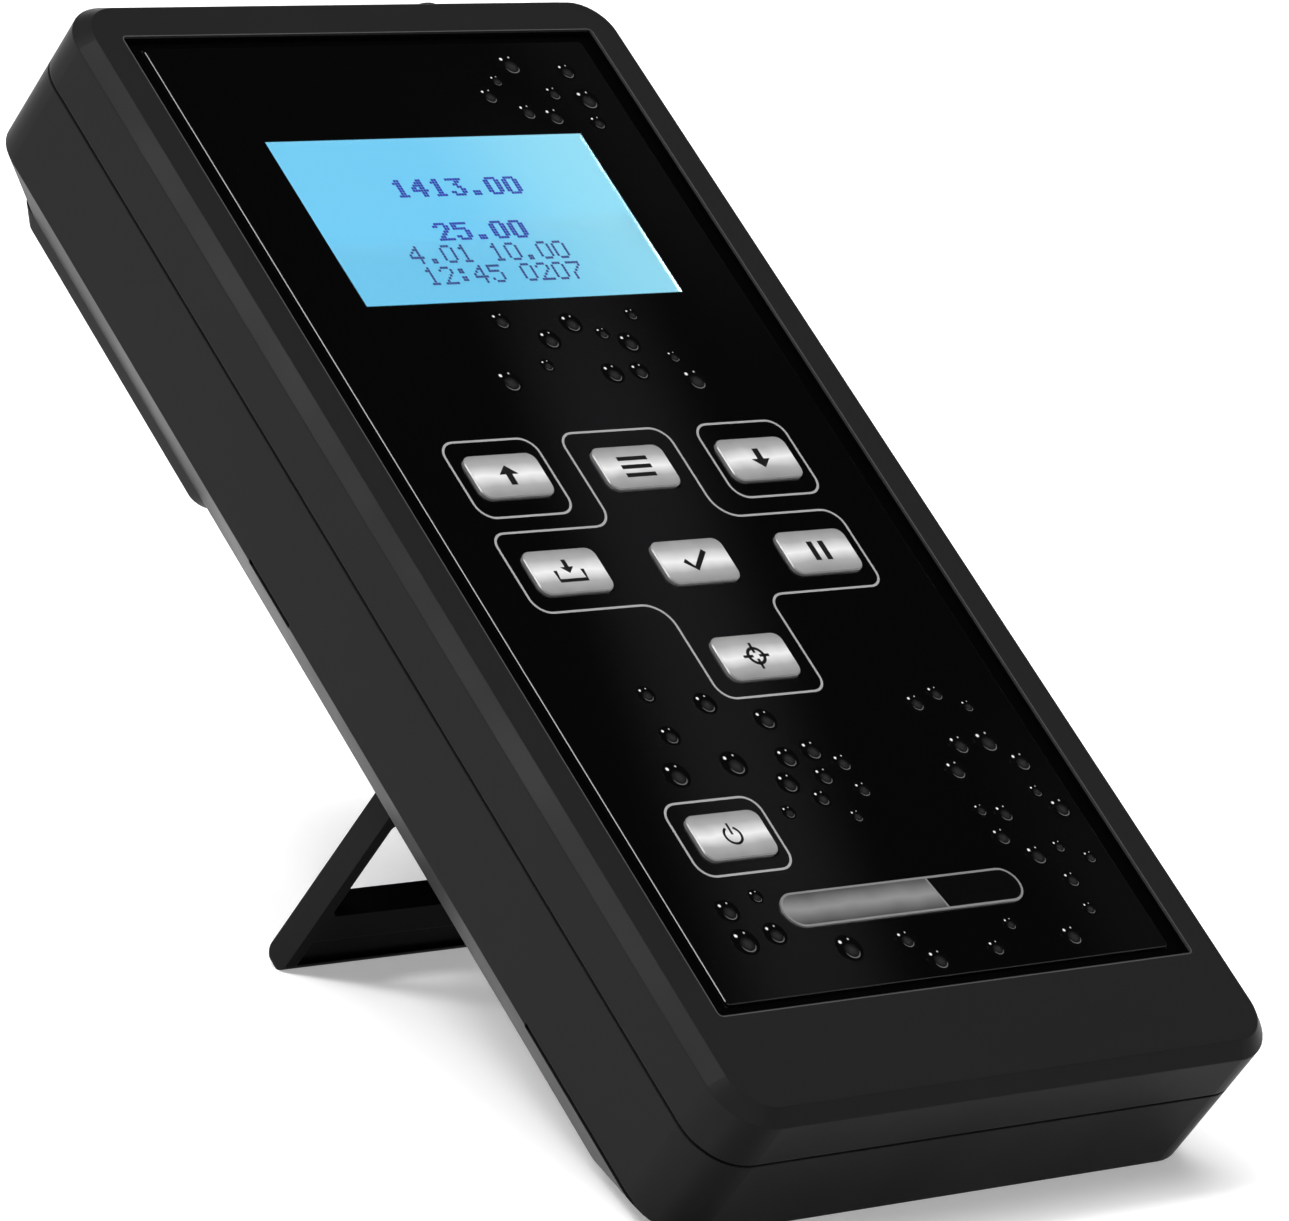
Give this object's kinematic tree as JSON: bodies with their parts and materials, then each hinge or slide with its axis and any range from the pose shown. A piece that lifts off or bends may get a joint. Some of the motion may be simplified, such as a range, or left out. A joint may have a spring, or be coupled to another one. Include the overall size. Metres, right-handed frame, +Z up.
{
  "type": "portable multiparameter meter",
  "caption": "Handheld water-quality meter in a two-shell case, with a back-lit display, keys, probe sockets and a fold-out rear support.",
  "frame": {"origin": "middle of the footprint, on the surface it stands on", "axes": "+Z up, +X across the case, +Y toward the raised top end; the display faces -Y and up"},
  "size_m": [0.1, 0.19, 0.124],
  "materials": {
    "case_abs": "fine satin moulded texture",
    "stand_abs": "satin moulded",
    "seal_rubber": "matt",
    "gloss_panel": "gloss",
    "clear_window": "clear gloss",
    "badge_aluminium": "brushed",
    "display_glass": "back-lit",
    "light_guide": "matt white",
    "tinned_pins": "tinned",
    "foam_rubber": "matt",
    "board_laminate": "lacquered",
    "black_plastic": "matt",
    "tin_can": "tinned",
    "can_aluminium": "satin",
    "nickel_brass": "nickel plated",
    "white_insulator": "satin",
    "gold_contact": "gold plated",
    "battery_jacket": "printed jacket",
    "screw_steel": "zinc plated",
    "foot_rubber": "matt",
    "key_metallised": "brushed metallised"
  },
  "bodies": {
    "case": {"badge_plate": "badge_aluminium", "battery": "battery_jacket", "battery_contact_block": "black_plastic", "battery_terminals": "nickel_brass", "bnc_contact": "gold_contact", "bnc_insulator": "white_insulator", "bnc_nut": "nickel_brass", "bnc_socket": "nickel_brass", "board_chips": "black_plastic", "board_screws": "screw_steel", "buzzer": "black_plastic", "capacitors": "can_aluminium", "case_screws": "screw_steel", "case_seal": "seal_rubber", "contact_strips": "tinned_pins", "din_shields": "nickel_brass", "din_sockets": "black_plastic", "display_window": "clear_window", "fascia": "gloss_panel", "front_shell": "case_abs", "lcd_backlight": "light_guide", "lcd_foam": "foam_rubber", "lcd_glass": "display_glass", "lcd_pins": "tinned_pins", "main_board": "board_laminate", "rear_feet": "foot_rubber", "rear_shell": "case_abs", "signal_shield": "tin_can", "stand_pin": "screw_steel", "switch_housings": "black_plastic", "temp_jack": "black_plastic", "temp_jack_nut": "nickel_brass"},
    "support": {"stand": "stand_abs"},
    "door": {"battery_door": "case_abs"},
    "key_up_body": {"key_up": "key_metallised"},
    "key_mode_body": {"key_mode": "key_metallised"},
    "key_down_body": {"key_down": "key_metallised"},
    "key_store_body": {"key_store": "key_metallised"},
    "key_ok_body": {"key_ok": "key_metallised"},
    "key_hold_body": {"key_hold": "key_metallised"},
    "key_cal_body": {"key_cal": "key_metallised"},
    "key_power_body": {"key_power": "key_metallised"}
  },
  "joints": [
    {"name": "key_up_press", "type": "slide", "parent": "case", "child": "key_up_body", "axis": [0, 0.521, -0.8536], "range_m": [0, 0.0004], "stiffness_N_per_m": 1500, "springref_m": -0.0003},
    {"name": "key_mode_press", "type": "slide", "parent": "case", "child": "key_mode_body", "axis": [0, 0.521, -0.8536], "range_m": [0, 0.0004], "stiffness_N_per_m": 1500, "springref_m": -0.0003},
    {"name": "key_down_press", "type": "slide", "parent": "case", "child": "key_down_body", "axis": [0, 0.521, -0.8536], "range_m": [0, 0.0004], "stiffness_N_per_m": 1500, "springref_m": -0.0003},
    {"name": "key_store_press", "type": "slide", "parent": "case", "child": "key_store_body", "axis": [0, 0.521, -0.8536], "range_m": [0, 0.0004], "stiffness_N_per_m": 1500, "springref_m": -0.0003},
    {"name": "key_ok_press", "type": "slide", "parent": "case", "child": "key_ok_body", "axis": [0, 0.521, -0.8536], "range_m": [0, 0.0004], "stiffness_N_per_m": 1500, "springref_m": -0.0003},
    {"name": "key_hold_press", "type": "slide", "parent": "case", "child": "key_hold_body", "axis": [0, 0.521, -0.8536], "range_m": [0, 0.0004], "stiffness_N_per_m": 1500, "springref_m": -0.0003},
    {"name": "key_cal_press", "type": "slide", "parent": "case", "child": "key_cal_body", "axis": [0, 0.521, -0.8536], "range_m": [0, 0.0004], "stiffness_N_per_m": 1500, "springref_m": -0.0003},
    {"name": "key_power_press", "type": "slide", "parent": "case", "child": "key_power_body", "axis": [0, 0.521, -0.8536], "range_m": [0, 0.0004], "stiffness_N_per_m": 1500, "springref_m": -0.0003},
    {"name": "stand_fold", "type": "hinge", "parent": "case", "child": "support", "pos_m": [0, -0.00695, 0.04146], "axis": [-1, 0, 0], "range_deg": [0, 90]},
    {"name": "battery_door_slide", "type": "slide", "parent": "case", "child": "door", "axis": [0, 0.8536, 0.521], "range_m": [0, 0.04]}
  ]
}
